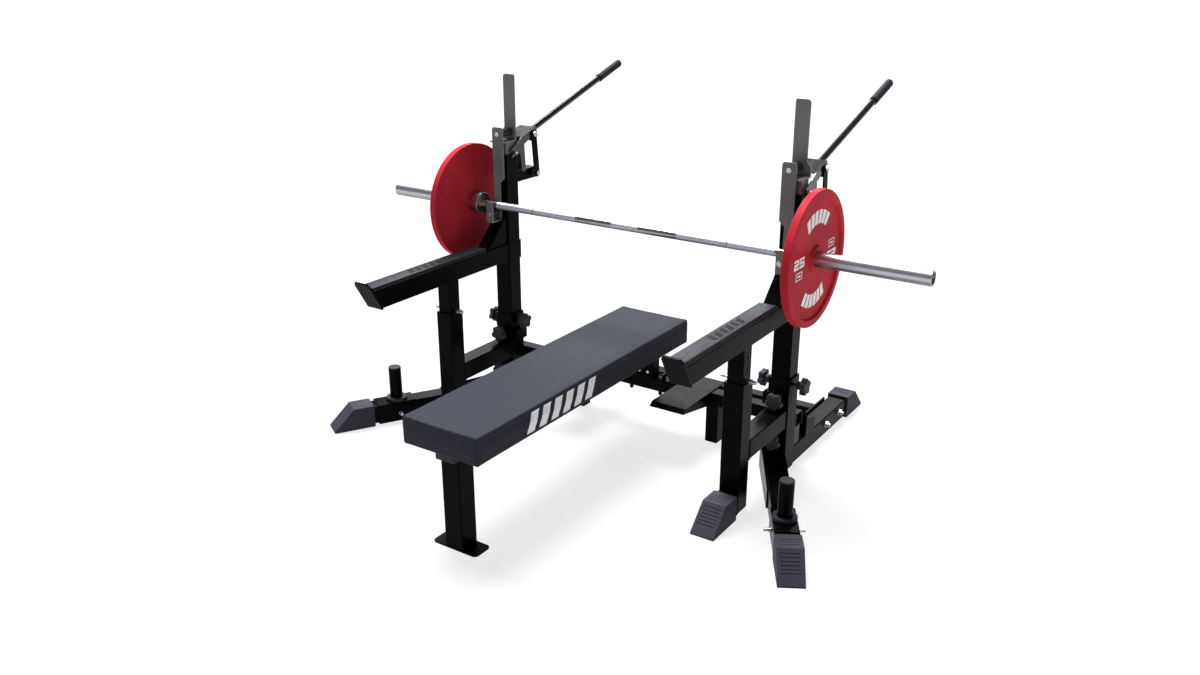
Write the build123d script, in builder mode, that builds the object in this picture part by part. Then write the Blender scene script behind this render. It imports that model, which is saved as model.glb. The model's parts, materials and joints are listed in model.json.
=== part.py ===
from build123d import *
import math
import os

os.makedirs("parts", exist_ok=True)

# Competition bench press, in millimetres.  +Y points from the foot of the bench to the rack,
# +Z is up, the floor is Z = 0 and +X is to the right as seen from the foot of the bench.  The
# stand is symmetric about X = 0, so the left-hand pieces are mirrored from the right-hand ones.

# Bar and plates
BAR_Y = 65.0
BAR_Z = 817.5
BAR_LENGTH = 2200.0
SHAFT_R = 14.25
SLEEVE_R = 25.0
COLLAR_X = 655.0
PLATE_X = 700.0
PLATE_R = 225.0
PLATE_WIDTH = 27.4
PLATE_BORE_R = 25.6

# Side unit: telescopic upright, front post and the tubes between them
UNIT_X = 605.0
UP_Y = BAR_Y + 80.0
TUBE = 70.0
WALL = 5.0
CORNER = 4.0
LOWER = 77.0
LOWER_WALL = 3.0
LOWER_TOP = 362.0
FRONT_FACE_Y = UP_Y - LOWER / 2
POST_Y = BAR_Y - 278.5
POST_TOP = 466.0
INNER_POST = 57.0
LEG_Z = 43.0
FIT = 0.1
BOLT_R = 5.0
PIVOT_R = 6.0

# Lift weldment
UPRIGHT_TOP = 1004.5
ARM_BOTTOM = 588.0
ARM_TOP = ARM_BOTTOM + TUBE
HOLE_PITCH = 40.0
POST_PIN_Z = POST_TOP + BOLT_R + 0.4

# Hook carriage
MAST = 58.0
CAP_Z = 1050.0
ROLLER_R = 15.0
UPPER_ROLLER = (UNIT_X - 7.3, 1084.5)
LOWER_ROLLER = (UNIT_X + 2.0, BAR_Z - SHAFT_R - ROLLER_R - 0.3)
CROSS_PIN = (BAR_Y + 84.0, UPRIGHT_TOP + BOLT_R + 0.4)

# Lever and the links it hangs on
FULCRUM = (BAR_Y + 209.0, 1064.0)
ANCHOR = (BAR_Y + 225.0, 908.0)
LEVER_TILT = 17.5
LEVER_DROP = -6.0
LEVER_R = 12.5
GRIP_R = 16.0
GRIP_START = 540.0
GRIP_END = 708.0
FORK_IN = 35.7
FORK_OUT = 39.7
LINK_IN = 40.1
LINK_OUT = 45.1
LINK_WIDTH = 31.0

# Bench
PAD_HALF = 147.5
PAD_FRONT = BAR_Y - 1019.0
PAD_BACK = BAR_Y + 213.0
PAD_BOTTOM = 341.0
PAD_TOP = 435.5

# Outer leg: its own frame runs from the outer foot to the upright, 30 degrees off the Y axis
LEG = Plane(
    origin=(958.5, BAR_Y - 589.5, 0),
    x_dir=(-0.5, math.sqrt(3) / 2, 0),
    z_dir=(0, 0, 1),
)
STORAGE_T = 259.0
STORAGE_R = 24.0
STORAGE_TOP = 213.0
STORAGE_SEAT = 95.0
STORAGE_SEAT_R = 26.0


def slab(x0, x1, y0, y1, z0, z1, corner=0.0, mode=Mode.ADD):
    """Upright block between two X, Y and Z limits, with rounded corners in plan."""
    with BuildSketch(Plane.XY.offset(z0)) as plan:
        with Locations(((x0 + x1) / 2, (y0 + y1) / 2)):
            if corner:
                RectangleRounded(x1 - x0, y1 - y0, corner)
            else:
                Rectangle(x1 - x0, y1 - y0)
    extrude(plan.sketch, amount=z1 - z0, mode=mode)


def tube(start, along, length, width, height, wall, across=(1, 0, 0)):
    """Rectangular hollow section: width lies along `across`."""
    with BuildSketch(Plane(origin=start, x_dir=across, z_dir=along)) as section:
        RectangleRounded(width, height, CORNER)
        RectangleRounded(width - 2 * wall, height - 2 * wall, 1.0, mode=Mode.SUBTRACT)
    extrude(section.sketch, amount=length)


def rod(start, along, length, radius, mode=Mode.ADD):
    """Round bar or hole from a start point."""
    with BuildSketch(Plane(origin=start, z_dir=along)) as section:
        Circle(radius)
    extrude(section.sketch, amount=length, mode=mode)


def hex_head(start, along, thickness, across_flats):
    """Hexagonal bolt head or nut."""
    with BuildSketch(Plane(origin=start, z_dir=along)) as section:
        RegularPolygon(across_flats / 2, 6, major_radius=False)
    extrude(section.sketch, amount=thickness)


def side_plate(x0, x1, outline, mode=Mode.ADD):
    """Flat plate normal to X; the outline is a list of (y, z) corners."""
    with BuildSketch(Plane.YZ.offset(x0)) as profile:
        with BuildLine():
            Polyline(*outline, close=True)
        make_face()
    extrude(profile.sketch, amount=x1 - x0, mode=mode)


def face_plate(y0, y1, outline, mode=Mode.ADD):
    """Flat plate normal to Y; the outline is a list of (x, z) corners."""
    with BuildSketch(Plane.XZ.offset(-y1)) as profile:
        with BuildLine():
            Polyline(*outline, close=True)
        make_face()
    extrude(profile.sketch, amount=y1 - y0, mode=mode)


def mirrored(right):
    """Left-hand copy of a right-hand piece."""
    with BuildPart() as left:
        mirror(right.part, about=Plane.YZ)
    return left


def save(piece, name):
    piece.part.label = name
    export_step(piece.part, f"parts/{name}.step")


def save_pair(right, name):
    save(right, f"{name}_right")
    save(mirrored(right), f"{name}_left")


# ---------------------------------------------------------------- base: lower uprights
KNOB_SIDE_Z = 335.0
KNOB_HIGH_Z = 286.0
KNOB_LOW_Z = 134.0

with BuildPart() as lower_upright:
    tube((UNIT_X, UP_Y, 8), (0, 0, 1), LOWER_TOP - 8, LOWER, LOWER, LOWER_WALL)
    # collar band round the mouth
    with BuildSketch(Plane.XY.offset(306)):
        with Locations((UNIT_X, UP_Y)):
            RectangleRounded(81, 81, CORNER)
            RectangleRounded(LOWER - 2, LOWER - 2, 1.0, mode=Mode.SUBTRACT)
    extrude(amount=LOWER_TOP - 306)
    # nut block on the inner face
    slab(UNIT_X - 60, UNIT_X - 38, UP_Y - 38, UP_Y + 32, 255, 299)
    # clamp slit through both side walls
    slab(UNIT_X - 45, UNIT_X + 45, UP_Y - 23, UP_Y - 17, 270, 354, mode=Mode.SUBTRACT)
    # spindle holes
    rod((UNIT_X - 50, UP_Y, KNOB_SIDE_Z), (1, 0, 0), 100, BOLT_R + FIT, Mode.SUBTRACT)
    for hole_z in (KNOB_HIGH_Z, KNOB_LOW_Z):
        rod((UNIT_X, UP_Y - 45, hole_z), (0, 1, 0), 20, BOLT_R + FIT, Mode.SUBTRACT)
save_pair(lower_upright, "lower_upright")

# ---------------------------------------------------------------- base: rear legs
REAR_LEG_START = UP_Y + LOWER / 2
REAR_LEG_END = BAR_Y + 684.0
FLANGE_BOLTS_Y = (BAR_Y + 420.0, BAR_Y + 550.0)
FLANGE_BOLT_Z = 50.0

with BuildPart() as rear_leg:
    tube(
        (UNIT_X, REAR_LEG_START, LEG_Z),
        (0, 1, 0),
        REAR_LEG_END - REAR_LEG_START,
        TUBE,
        TUBE,
        WALL,
    )
    # upstanding angle bracket on the outer edge
    side_plate(
        UNIT_X + 30,
        UNIT_X + 35,
        [
            (BAR_Y + 230, 74),
            (BAR_Y + 308, 74),
            (BAR_Y + 308, 123),
            (BAR_Y + 230, 151),
        ],
    )
    face_plate(
        BAR_Y + 230,
        BAR_Y + 235,
        [
            (UNIT_X + 8, 77),
            (UNIT_X + 35, 77),
            (UNIT_X + 35, 151),
            (UNIT_X + 8, 160),
        ],
    )
    for bolt_y in FLANGE_BOLTS_Y:
        rod((UNIT_X - 40, bolt_y, FLANGE_BOLT_Z), (1, 0, 0), 80, PIVOT_R + FIT, Mode.SUBTRACT)
save_pair(rear_leg, "rear_leg")

# ---------------------------------------------------------------- base: front posts
SIDE_TUBE_Z = 215.0
STUB_END = BAR_Y - 392.0

with BuildPart() as front_post:
    tube((UNIT_X, POST_Y, 10), (0, 0, 1), POST_TOP - 10, TUBE, TUBE, WALL)
    tube(
        (UNIT_X, POST_Y + TUBE / 2, SIDE_TUBE_Z),
        (0, 1, 0),
        FRONT_FACE_Y - POST_Y - TUBE / 2,
        TUBE,
        TUBE,
        WALL,
    )
    tube(
        (UNIT_X, STUB_END, LEG_Z + 1),
        (0, 1, 0),
        POST_Y - TUBE / 2 - STUB_END,
        TUBE - 2,
        TUBE - 2,
        WALL,
    )
save_pair(front_post, "front_post")

# ---------------------------------------------------------------- base: outer legs
GUSSET_FACE_Y = FRONT_FACE_Y - 5.0
LEG_END = 640.0

with BuildPart() as outer_leg:
    tube(
        LEG.from_local_coords((100, 0, LEG_Z)),
        LEG.x_dir,
        LEG_END - 100,
        TUBE,
        TUBE,
        WALL,
        across=LEG.y_dir,
    )
    # side plates that carry the leg up to the mounting plate
    for edge in (-1, 1):
        with BuildSketch(
            Plane(
                origin=LEG.from_local_coords((0, edge * 37.5 + 2.5, 0)),
                x_dir=LEG.x_dir,
                z_dir=-LEG.y_dir,
            )
        ):
            with BuildLine():
                Polyline((450, 8), (780, 8), (780, 96), (640, 96), (450, 80), close=True)
            make_face()
        extrude(amount=5)
    # trim the side plates flush with the mounting plate
    slab(400, 800, GUSSET_FACE_Y, FRONT_FACE_Y + 200, 0, 120, mode=Mode.SUBTRACT)
    slab(UNIT_X - 55, UNIT_X + 41, GUSSET_FACE_Y, FRONT_FACE_Y, 8, 96)
    # painted bolt head on the mounting plate
    with BuildSketch(Plane(origin=(UNIT_X - 7, GUSSET_FACE_Y, 55), z_dir=(0, -1, 0))):
        Circle(10)
    extrude(amount=8, taper=25)
    # hole for the pull pin
    rod(LEG.from_local_coords((STORAGE_T, -60, 40)), LEG.y_dir, 120, 4 + FIT, Mode.SUBTRACT)
save_pair(outer_leg, "outer_leg")

# ---------------------------------------------------------------- base: storage sleeves
with BuildPart() as storage_sleeve:
    with BuildSketch(
        Plane(
            origin=LEG.from_local_coords((175, 0, LEG_Z)),
            x_dir=LEG.y_dir,
            z_dir=LEG.x_dir,
        )
    ):
        RectangleRounded(80, 80, CORNER)
        RectangleRounded(TUBE + 0.6, TUBE + 0.6, CORNER, mode=Mode.SUBTRACT)
    extrude(amount=150)
    # wider foot of the pin, inside the rubber ring
    rod(LEG.from_local_coords((STORAGE_T, 0, 82)), (0, 0, 1), STORAGE_SEAT - 82, STORAGE_SEAT_R)
    rod(LEG.from_local_coords((STORAGE_T, 0, 83)), (0, 0, 1), STORAGE_TOP - 83, STORAGE_R)
    rod(LEG.from_local_coords((STORAGE_T, -60, 40)), LEG.y_dir, 120, 4 + FIT, Mode.SUBTRACT)
save_pair(storage_sleeve, "storage_sleeve")

with BuildPart() as ring_and_cap:
    with BuildSketch(LEG.offset(83)):
        with Locations((STORAGE_T, 0)):
            Circle(40)
            Circle(STORAGE_SEAT_R + FIT, mode=Mode.SUBTRACT)
    extrude(amount=STORAGE_SEAT - 83)
    chamfer(ring_and_cap.edges().group_by(Axis.Z)[-1].sort_by(SortBy.LENGTH)[-1], 2.5)
    with BuildSketch(LEG.offset(STORAGE_TOP)):
        with Locations((STORAGE_T, 0)):
            Circle(STORAGE_R - 0.3)
    extrude(amount=5)
    chamfer(ring_and_cap.edges().group_by(Axis.Z)[-1], 1.5)
with BuildPart() as storage_rings:
    add(ring_and_cap.part)
    mirror(ring_and_cap.part, about=Plane.YZ)
save(storage_rings, "storage_rings")

# ---------------------------------------------------------------- pull pins of the storage sleeves
with BuildPart() as leg_pin:
    rod(LEG.from_local_coords((STORAGE_T, -67, 40)), LEG.y_dir, 110, 4)
    rod(LEG.from_local_coords((STORAGE_T, 41, 40)), LEG.y_dir, 9, 7)
    rod(LEG.from_local_coords((STORAGE_T, 50, 40)), LEG.y_dir, 14, 5.5)
save_pair(leg_pin, "leg_pin")

# ---------------------------------------------------------------- rubber feet
FOOT_LENGTH = 158.0
FOOT_TOP = 78.0
FOOT_HEIGHT = 86.0
FOOT_HALF = 42.0
POCKET = 61.0


def rubber_foot(place):
    """Wedge foot: `place` has its origin under the toe and its X towards the tube."""
    slope_run = FOOT_LENGTH - FOOT_TOP
    with BuildPart() as foot:
        section = Plane(
            origin=place.from_local_coords((0, FOOT_HALF, 0)),
            x_dir=place.x_dir,
            z_dir=-place.y_dir,
        )
        with BuildSketch(section):
            with BuildLine():
                Polyline(
                    (0, 0),
                    (FOOT_LENGTH, 0),
                    (FOOT_LENGTH, FOOT_HEIGHT),
                    (slope_run, FOOT_HEIGHT),
                    (0, 6),
                    close=True,
                )
            make_face()
        extrude(amount=2 * FOOT_HALF)
        # recessed tread panels with raised ribs on the slope
        slope = math.atan2(FOOT_HEIGHT - 6, slope_run)
        ramp = Plane(
            origin=place.from_local_coords((0, 0, 6)),
            x_dir=place.x_dir * math.cos(slope) + place.z_dir * math.sin(slope),
            z_dir=place.z_dir * math.cos(slope) - place.x_dir * math.sin(slope),
        )
        for rib in range(6):
            with BuildSketch(ramp):
                with Locations((34 + 12.0 * rib, 0)):
                    Rectangle(9.0, 60)
            extrude(amount=-1.2, mode=Mode.SUBTRACT)
        for rib in range(3):
            with BuildSketch(place.offset(FOOT_HEIGHT)):
                with Locations((slope_run + 16 + 14.0 * rib, 0)):
                    Rectangle(11.0, 60)
            extrude(amount=-1.0, mode=Mode.SUBTRACT)
        # socket for the end of the tube
        with BuildSketch(
            Plane(
                origin=place.from_local_coords((FOOT_LENGTH, 0, LEG_Z)),
                x_dir=place.y_dir,
                z_dir=-place.x_dir,
            )
        ):
            RectangleRounded(TUBE + 0.4, TUBE + 0.4, CORNER)
        extrude(amount=POCKET, mode=Mode.SUBTRACT)
    return foot


FOOT_PLACES = [
    Plane(origin=(UNIT_X, BAR_Y - 490, 0), x_dir=(0, 1, 0), z_dir=(0, 0, 1)),
    Plane(origin=(UNIT_X, BAR_Y + 781, 0), x_dir=(0, -1, 0), z_dir=(0, 0, 1)),
    LEG,
]
feet = [rubber_foot(foot_place) for foot_place in FOOT_PLACES]
with BuildPart() as rubber_feet:
    for foot in feet:
        add(foot.part)
        mirror(foot.part, about=Plane.YZ)
save(rubber_feet, "rubber_feet")

# ---------------------------------------------------------------- base: cross beams
BEAM = 50.0
BEAM_Y = BAR_Y + 156.0
BEAM_Z = 175.0
BEAM_HALF = 640.0
BEAM_LEG_X = 303.0
EYE_X = 65.0
EYE_R = 13.5
EYE_TOP = 217.0
EYE_BOLT_END = 132.0

with BuildPart() as front_beam:
    tube((-BEAM_HALF, BEAM_Y, BEAM_Z), (1, 0, 0), 2 * BEAM_HALF, BEAM, BEAM, 3, (0, 1, 0))
    for side in (-1, 1):
        tube((side * BEAM_LEG_X, BEAM_Y, 0), (0, 0, 1), BEAM_Z - BEAM / 2, BEAM, BEAM, 3)
        # pad between the beam and the upright
        slab(
            side * UNIT_X - 30,
            side * UNIT_X + 30,
            UP_Y + LOWER / 2,
            BEAM_Y - BEAM / 2,
            154,
            196,
        )
        # band eye above the beam, on a tab, with the rounded end of its bolt under the beam
        with BuildSketch(Plane.XY.offset(EYE_TOP - 5)):
            with Locations((side * EYE_X, BEAM_Y)):
                Circle(EYE_R + 5.5)
                Circle(EYE_R, mode=Mode.SUBTRACT)
        extrude(amount=5)
        tab_x = side * (EYE_X + 16)
        slab(tab_x - 3, tab_x + 3, BEAM_Y - 12, BEAM_Y + 12, BEAM_Z + BEAM / 2 - 1, EYE_TOP)
        rod((side * EYE_X, BEAM_Y, EYE_BOLT_END), (0, 0, 1), BEAM_Z - BEAM / 2 + 1 - EYE_BOLT_END, 8)
        with BuildSketch(Plane(origin=(side * EYE_X, BEAM_Y, EYE_BOLT_END), z_dir=(0, 0, -1))):
            Circle(8)
        extrude(amount=6, taper=30)
save(front_beam, "front_beam")

REAR_BEAM_Y = BAR_Y + 485.0
with BuildPart() as rear_beam:
    tube((-564, REAR_BEAM_Y, 55), (1, 0, 0), 1128, BEAM, BEAM, 3, (0, 1, 0))
    for side in (-1, 1):
        flange_x = side * 567.0
        slab(flange_x - 3, flange_x + 3, BAR_Y + 396, BAR_Y + 574, 10, 88)
        for bolt_y in FLANGE_BOLTS_Y:
            rod(
                (flange_x - 5, bolt_y, FLANGE_BOLT_Z),
                (1, 0, 0),
                10,
                PIVOT_R + FIT,
                Mode.SUBTRACT,
            )
save(rear_beam, "rear_beam")

# ---------------------------------------------------------------- spotter platforms
PLATFORM_IN = 157.0
PLATFORM_OUT = 297.0
PLATFORM_FRONT = BAR_Y - 75.0
PLATFORM_BACK = BAR_Y + 240.0
DECK = 200.0

with BuildPart() as platform:
    side_plate(
        PLATFORM_IN,
        PLATFORM_OUT,
        [
            (PLATFORM_FRONT, DECK - 12),
            (PLATFORM_FRONT + 4, DECK - 12),
            (PLATFORM_FRONT + 18, DECK),
            (PLATFORM_BACK, DECK),
            (PLATFORM_BACK, DECK + 4),
            (PLATFORM_FRONT + 16, DECK + 4),
            (PLATFORM_FRONT, DECK - 9),
        ],
    )
    for skirt_x in (PLATFORM_IN, PLATFORM_OUT - 4):
        side_plate(
            skirt_x,
            skirt_x + 4,
            [
                (PLATFORM_FRONT + 2, DECK - 12),
                (BEAM_Y - BEAM / 2, DECK - 50),
                (BEAM_Y - BEAM / 2, DECK + 1),
                (PLATFORM_FRONT + 17, DECK + 1),
            ],
        )
with BuildPart() as platforms:
    add(platform.part)
    mirror(platform.part, about=Plane.YZ)
save(platforms, "platforms")

# ---------------------------------------------------------------- fixed bolts of the base
with BuildPart() as base_bolts_side:
    for bolt_y in FLANGE_BOLTS_Y:
        rod((UNIT_X - 52, bolt_y, FLANGE_BOLT_Z), (1, 0, 0), 106, PIVOT_R)
        rod((UNIT_X + 35, bolt_y, FLANGE_BOLT_Z), (1, 0, 0), 2.5, 13)
        hex_head((UNIT_X + 37.5, bolt_y, FLANGE_BOLT_Z), (1, 0, 0), 10, 19)
        hex_head((UNIT_X - 51, bolt_y, FLANGE_BOLT_Z), (1, 0, 0), 10, 19)
    # bolt that holds the bench post on the front beam
    with BuildSketch(Plane(origin=(19, BAR_Y + 140, 218), z_dir=(0, -1, 0))):
        Circle(7)
    extrude(amount=5, taper=15)
with BuildPart() as frame_bolts:
    add(base_bolts_side.part)
    mirror(base_bolts_side.part, about=Plane.YZ)
save(frame_bolts, "frame_bolts")

# ---------------------------------------------------------------- bench
with BuildPart() as bench_pad:
    slab(-PAD_HALF, PAD_HALF, PAD_FRONT, PAD_BACK, PAD_BOTTOM, PAD_TOP, corner=6)
    fillet(bench_pad.edges().group_by(Axis.Z)[-1], 5)
save(bench_pad, "bench_pad")

RAIL_FRONT = BAR_Y - 978.0
with BuildPart() as bench_beam:
    tube(
        (0, RAIL_FRONT, 328.5),
        (0, 1, 0),
        1183,
        TUBE,
        25,
        3,
    )
    # rear post that stands on the front beam
    tube((0, BAR_Y + 165, DECK + 4), (0, 0, 1), 316 - DECK - 4, 80, 50, 4)
    slab(-44, 44, BAR_Y + 131, BAR_Y + 194, DECK, DECK + 4)
save(bench_beam, "bench_beam")

with BuildPart() as bench_end_cap:
    slab(-37, 37, RAIL_FRONT - 22, RAIL_FRONT, 315, 341, corner=5)
    slab(-31.5, 31.5, RAIL_FRONT - 1, RAIL_FRONT + 18, 319.5, 337.5)
save(bench_end_cap, "bench_end_cap")

with BuildPart() as bench_front_post:
    tube((0, RAIL_FRONT + 35, 5), (0, 0, 1), 311, TUBE, TUBE, 3)
    slab(-88, 88, RAIL_FRONT - 2, RAIL_FRONT + 72, 0, 5, corner=14)
save(bench_front_post, "bench_front_post")

# ---------------------------------------------------------------- star knobs
HEAD_START = 28.0
HEAD_THICK = 20.0


def star_knob(face_point, outward, stand_in):
    """Knob on the outside of a tube wall; the spindle reaches `stand_in` behind the face."""
    with BuildPart() as knob:
        tip = Plane(origin=face_point, z_dir=outward)
        with BuildSketch(tip.offset(-stand_in)):
            Circle(BOLT_R)
        extrude(amount=stand_in + 12)
        with BuildSketch(tip.offset(10)):
            Circle(13)
        extrude(amount=6)
        with BuildSketch(tip.offset(15)):
            Circle(15)
        extrude(amount=HEAD_START - 15)
        with BuildSketch(tip.offset(HEAD_START)):
            Circle(24)
            with PolarLocations(20, 5):
                Circle(11.5)
        extrude(amount=HEAD_THICK)
        outer = knob.faces().sort_by(Axis(face_point, outward))[-1]
        chamfer(outer.edges(), 3)
    return knob


COLLAR_FACE = 81 / 2
save(
    star_knob((UNIT_X + COLLAR_FACE, UP_Y, KNOB_SIDE_Z), (1, 0, 0), COLLAR_FACE - 35.4),
    "knob_outer_right",
)
save(
    star_knob((-UNIT_X - COLLAR_FACE, UP_Y, KNOB_SIDE_Z), (-1, 0, 0), COLLAR_FACE - 35.4),
    "knob_outer_left",
)
save(
    star_knob((UNIT_X - COLLAR_FACE, UP_Y, KNOB_SIDE_Z), (-1, 0, 0), COLLAR_FACE - 35.4),
    "knob_inner_right",
)
save(
    star_knob((-UNIT_X + COLLAR_FACE, UP_Y, KNOB_SIDE_Z), (1, 0, 0), COLLAR_FACE - 35.4),
    "knob_inner_left",
)
for unit, hand in ((1, "right"), (-1, "left")):
    for level, knob_z in (("high", KNOB_HIGH_Z), ("low", KNOB_LOW_Z)):
        save(
            star_knob((unit * UNIT_X, FRONT_FACE_Y, knob_z), (0, -1, 0), 3.1),
            f"knob_{level}_{hand}",
        )

# ---------------------------------------------------------------- lift: uprights
with BuildPart() as upright:
    tube((UNIT_X, UP_Y, 90), (0, 0, 1), UPRIGHT_TOP - 90, TUBE, TUBE, WALL)
    # arm at the back that carries the links
    tube((UNIT_X, UP_Y + TUBE / 2, ANCHOR[1]), (0, 1, 0), 128, 50, 44, 4)
    rod((UNIT_X - 40, ANCHOR[0], ANCHOR[1]), (1, 0, 0), 80, PIVOT_R + FIT, Mode.SUBTRACT)
save_pair(upright, "upright")

# ---------------------------------------------------------------- lift: safety arms
LEAN = math.tan(math.radians(30))
END_FOOT = (BAR_Y - 654.0, 583.0)
END_THICK = 6 / math.cos(math.radians(30))
GUSSET_TOP_Y = UP_Y - TUBE / 2
GUSSET_RISE = 113.0

with BuildPart() as safety_arm:
    tube((UNIT_X, BAR_Y - 720, ARM_BOTTOM + TUBE / 2), (0, 1, 0), 761.5, TUBE, TUBE, WALL)
    # cut the front end to the slope of the end plate
    side_plate(
        UNIT_X - 50,
        UNIT_X + 50,
        [
            (BAR_Y - 760, 560),
            (END_FOOT[0] + END_THICK - 0.5 - (560 - END_FOOT[1]) * LEAN, 560),
            (END_FOOT[0] + END_THICK - 0.5 - (700 - END_FOOT[1]) * LEAN, 700),
            (BAR_Y - 760, 700),
        ],
        mode=Mode.SUBTRACT,
    )
    # leaning end plate with clipped upper corners
    end_plane = Plane(
        origin=(UNIT_X, END_FOOT[0], END_FOOT[1]),
        x_dir=(-1, 0, 0),
        z_dir=(0, math.cos(math.radians(30)), math.sin(math.radians(30))),
    )
    with BuildSketch(end_plane):
        with BuildLine():
            Polyline(
                (-36, 0),
                (36, 0),
                (36, 105),
                (28, 119),
                (-28, 119),
                (-36, 105),
                close=True,
            )
        make_face()
    extrude(amount=6)
    # band round the upright
    with BuildSketch(Plane.XY.offset(ARM_BOTTOM)):
        with Locations((UNIT_X, UP_Y)):
            RectangleRounded(LOWER, LOWER, CORNER)
            RectangleRounded(TUBE + 0.2, TUBE + 0.2, CORNER, mode=Mode.SUBTRACT)
    extrude(amount=72)
    # gusset between arm and upright
    for plate_x in (UNIT_X - 28, UNIT_X + 24):
        side_plate(
            plate_x,
            plate_x + 4,
            [
                (GUSSET_TOP_Y - GUSSET_RISE, ARM_TOP - 1),
                (GUSSET_TOP_Y - 0.2, ARM_TOP - 1),
                (GUSSET_TOP_Y - 0.2, ARM_TOP + GUSSET_RISE),
            ],
        )
    side_plate(
        UNIT_X - 25,
        UNIT_X + 25,
        [
            (GUSSET_TOP_Y - GUSSET_RISE, ARM_TOP - 1),
            (GUSSET_TOP_Y - GUSSET_RISE + 6, ARM_TOP - 1),
            (BAR_Y + 16, ARM_TOP + 78),
            (BAR_Y + 13, ARM_TOP + 80),
        ],
    )
    # inner post that slides in the front post
    tube((UNIT_X, POST_Y, 150), (0, 0, 1), ARM_BOTTOM - 150, INNER_POST, INNER_POST, 4)
    for step in range(10):
        rod(
            (UNIT_X - 40, POST_Y, POST_PIN_Z + HOLE_PITCH * (2 - step)),
            (1, 0, 0),
            80,
            BOLT_R + FIT,
            Mode.SUBTRACT,
        )
save_pair(safety_arm, "safety_arm")

with BuildPart() as arm_pad:
    slab(UNIT_X - 34, UNIT_X + 34, BAR_Y - 690, BAR_Y - 90, ARM_TOP, ARM_TOP + 12, corner=3)
    fillet(arm_pad.edges().group_by(Axis.Z)[-1], 4)
save_pair(arm_pad, "arm_pad")

for unit, hand in ((1, "right"), (-1, "left")):
    with BuildPart() as post_pin:
        rod((unit * UNIT_X - 63, POST_Y, POST_PIN_Z), (1, 0, 0), 126, BOLT_R)
        rod((unit * UNIT_X + 38, POST_Y, POST_PIN_Z), (1, 0, 0), 5, 8.5)
        rod((unit * UNIT_X + 43, POST_Y, POST_PIN_Z), (1, 0, 0), 20, 7)
    save(post_pin, f"post_pin_{hand}")

# ---------------------------------------------------------------- carriage: mast with both hooks
PLATE_Y = BAR_Y + 28.0
BACK_PLATE_Y = BAR_Y + 105.0
LIP_Y = BAR_Y - 22.0
HOOK_FLOOR = 751.0

with BuildPart() as mast:
    tube((UNIT_X, UP_Y, 700), (0, 0, 1), CAP_Z - 700, MAST, MAST, 4)
    slab(UNIT_X - 33, UNIT_X + 33, PLATE_Y + 6, BACK_PLATE_Y + 6, CAP_Z, CAP_Z + 6)
    # front plate, narrowed towards the lower hook
    face_plate(
        PLATE_Y,
        PLATE_Y + 6,
        [
            (UNIT_X + 17.7, HOOK_FLOOR),
            (UNIT_X + 17.7, 1101),
            (UNIT_X + 15, 1107),
            (UNIT_X + 9, 1110),
            (UNIT_X - 24, 1110),
            (UNIT_X - 30, 1107),
            (UNIT_X - 32.3, 1101),
            (UNIT_X - 32.3, 916),
            (UNIT_X - 13.3, 899),
            (UNIT_X - 13.3, HOOK_FLOOR),
        ],
    )
    # tall guide plate behind the upper hook
    face_plate(
        BACK_PLATE_Y,
        BACK_PLATE_Y + 6,
        [
            (UNIT_X - 33, CAP_Z + 5),
            (UNIT_X + 34, CAP_Z + 5),
            (UNIT_X + 34, 1085),
            (UNIT_X + 18.6, 1100),
            (UNIT_X + 18.6, 1292),
            (UNIT_X + 11, 1300),
            (UNIT_X - 27, 1300),
            (UNIT_X - 31, 1298),
            (UNIT_X - 33, 1294),
        ],
    )
    # lower hook: floor and lip
    slab(UNIT_X - 13.3, UNIT_X + 17, LIP_Y, PLATE_Y + 3, HOOK_FLOOR, HOOK_FLOOR + 6)
    face_plate(
        LIP_Y,
        LIP_Y + 6,
        [
            (UNIT_X - 13.3, HOOK_FLOOR),
            (UNIT_X + 17, HOOK_FLOOR),
            (UNIT_X + 17, 822),
            (UNIT_X + 14, 829),
            (UNIT_X + 8, 832),
            (UNIT_X - 8, 832),
            (UNIT_X - 12, 828),
            (UNIT_X - 13.3, 822),
        ],
    )
    rod((UPPER_ROLLER[0], PLATE_Y - 5, UPPER_ROLLER[1]), (0, 1, 0), 95, BOLT_R + FIT, Mode.SUBTRACT)
    rod((LOWER_ROLLER[0], LIP_Y - 5, LOWER_ROLLER[1]), (0, 1, 0), 65, BOLT_R + FIT, Mode.SUBTRACT)
    rod((UNIT_X - 40, CROSS_PIN[0], CROSS_PIN[1]), (1, 0, 0), 80, BOLT_R + FIT, Mode.SUBTRACT)
save_pair(mast, "mast")


def roller(axis_point, length):
    """Bushed roller on a bolt, its axis along Y."""
    with BuildPart() as barrel:
        with BuildSketch(Plane(origin=axis_point, z_dir=(0, 1, 0))):
            Circle(ROLLER_R)
            Circle(BOLT_R + FIT, mode=Mode.SUBTRACT)
        extrude(amount=length)
        rims = barrel.edges().filter_by(GeomType.CIRCLE)
        chamfer(rims.sort_by(SortBy.RADIUS)[-2:], 1.0)
    return barrel


save_pair(roller((UPPER_ROLLER[0], PLATE_Y + 6.4, UPPER_ROLLER[1]), 70.2), "upper_roller")
save_pair(roller((LOWER_ROLLER[0], LIP_Y + 6.4, LOWER_ROLLER[1]), 43.2), "lower_roller")

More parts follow.
